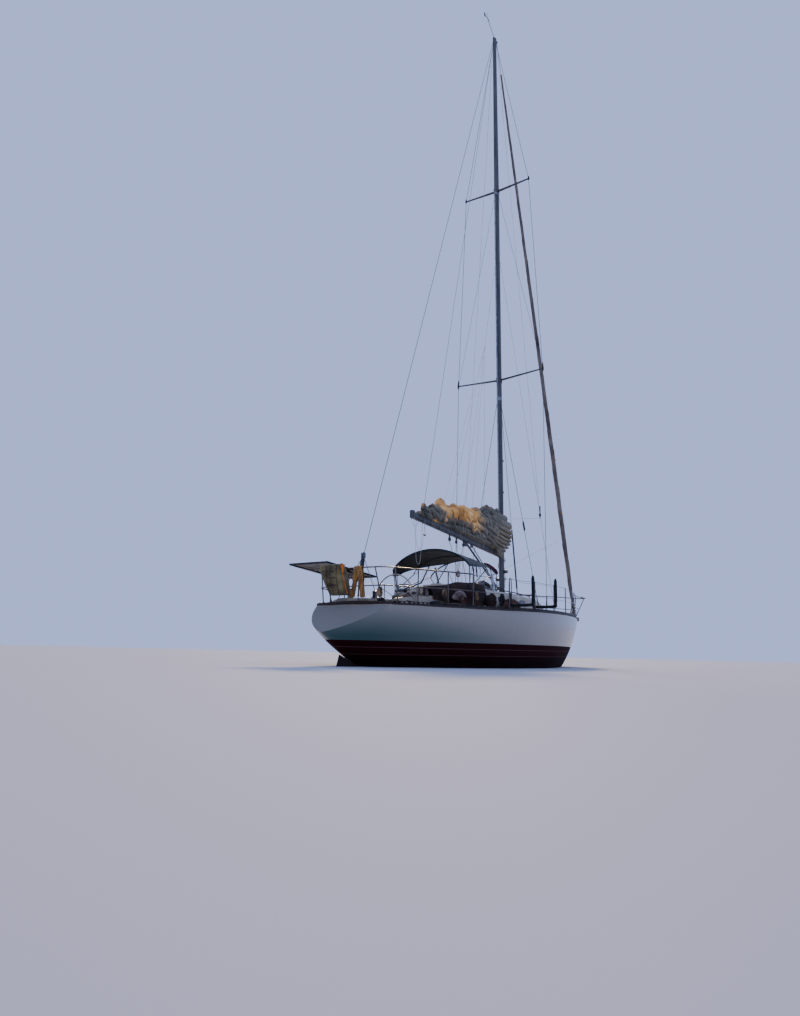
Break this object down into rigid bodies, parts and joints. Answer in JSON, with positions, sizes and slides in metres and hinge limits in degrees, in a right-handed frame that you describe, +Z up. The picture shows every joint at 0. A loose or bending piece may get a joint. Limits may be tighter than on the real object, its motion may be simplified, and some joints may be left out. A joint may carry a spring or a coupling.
{
  "type": "sailing yacht",
  "caption": "Masthead sloop at anchor with a flaked mainsail, furled genoa, canvas dodger, solar panel on the quarter, rail racks and a fin keel with a skeg rudder.",
  "frame": {"origin": "on the centreline at the waterline, midway along the hull; it is the mount the boat floats on", "axes": "+X to the bow, +Y to port, +Z up along the mast"},
  "size_m": [12.4446, 4.3378, 21],
  "materials": {
    "gelcoat": "gloss, weathered",
    "antifouling": "matt",
    "bronze": "dull",
    "engine_paint": "satin",
    "deck_paint": "satin",
    "teak": "varnished, worn",
    "alloy": "satin",
    "steel": "polished",
    "dark_alloy": "anodised",
    "wire": "satin",
    "genoa_cover": "matt",
    "sailcloth": "matt",
    "black_plastic": "matt",
    "black_padding": "matt",
    "canvas": "matt",
    "panel": "gloss",
    "bag_canvas": "matt",
    "drape_cloth": "matt"
  },
  "bodies": {
    "boat": {"baby_stay": "wire", "backstay": "wire", "board_rack_aft": "black_padding", "board_rack_fore": "black_padding", "bow_pulpit": "steel", "bow_roller": "steel", "canvas_bag": "bag_canvas", "cap_shroud_port": "wire", "cap_shroud_starboard": "wire", "coachroof": "deck_paint", "coaming_port": "deck_paint", "coaming_starboard": "deck_paint", "cockpit_tub": "deck_paint", "deck": "deck_paint", "dodger_canopy": "canvas", "dodger_frame": "steel", "engine": "engine_paint", "forestay": "wire", "furled_genoa": "genoa_cover", "furler_drum": "black_plastic", "guard_rail_port": "steel", "guard_rail_starboard": "steel", "hull": "gelcoat", "keel": "antifouling", "lashed_cloth": "drape_cloth", "lower_shroud_port": "wire", "lower_shroud_starboard": "wire", "lower_spreaders": "dark_alloy", "mainsheet_traveller": "alloy", "mast": "dark_alloy", "mast_guard_rail": "steel", "shaft_strut": "bronze", "skeg": "antifouling", "solar_panel": "panel", "steering_pedestal": "steel", "stern_cap_rail": "teak", "stern_rail_port": "steel", "stern_rail_starboard": "steel", "toe_rail_port": "alloy", "toe_rail_starboard": "alloy", "upper_spreaders": "dark_alloy", "washboards": "teak", "winch_aft_port": "steel", "winch_aft_starboard": "steel", "winch_fore_port": "steel", "winch_fore_starboard": "steel", "wind_instruments": "black_plastic", "windlass": "steel"},
    "rudder": {"rudder": "antifouling"},
    "propeller": {"propeller": "bronze"},
    "boom": {"boom": "dark_alloy", "furled_mainsail": "sailcloth", "boom_vang": "dark_alloy"},
    "steering_wheel": {"steering_wheel": "steel"},
    "companionway_hatch": {"companionway_hatch": "deck_paint"},
    "seat_lid_port": {"seat_lid_port": "deck_paint"},
    "seat_lid_starboard": {"seat_lid_starboard": "deck_paint"},
    "foredeck_hatch": {"foredeck_hatch": "alloy"}
  },
  "joints": [
    {"name": "boom_swing", "type": "hinge", "parent": "boat", "child": "boom", "pos_m": [0.975, 0, 2.905], "axis": [0, 0, 1], "range_deg": [-60, 60]},
    {"name": "rudder_turn", "type": "hinge", "parent": "boat", "child": "rudder", "pos_m": [-4.8, 0, 0.025], "axis": [0.309, 0, 0.9511], "range_deg": [-35, 35]},
    {"name": "wheel_turn", "type": "hinge", "parent": "boat", "child": "steering_wheel", "pos_m": [-3.625, 0, 1.44], "axis": [1, 0, 0], "range_deg": [-275, 275]},
    {"name": "propeller_spin", "type": "hinge", "parent": "boat", "child": "propeller", "pos_m": [-3.72, 0, -0.64], "axis": [0.983, 0, 0.1836], "continuous": true},
    {"name": "companionway_slide", "type": "slide", "parent": "boat", "child": "companionway_hatch", "axis": [1, 0, 0], "range_m": [0, 0.6]},
    {"name": "seat_lid_port_lift", "type": "hinge", "parent": "boat", "child": "seat_lid_port", "pos_m": [-2.775, 0.905, 1.306], "axis": [-1, 0, 0], "range_deg": [0, 80]},
    {"name": "seat_lid_starboard_lift", "type": "hinge", "parent": "boat", "child": "seat_lid_starboard", "pos_m": [-2.775, -0.905, 1.306], "axis": [1, 0, 0], "range_deg": [0, 80]},
    {"name": "foredeck_hatch_lift", "type": "hinge", "parent": "boat", "child": "foredeck_hatch", "pos_m": [3.54, 0, 1.45], "axis": [0, 1, 0], "range_deg": [0, 90]}
  ],
  "couplings": [
    {"joint": "wheel_turn", "follows": "rudder_turn", "ratio": 7.714}
  ]
}
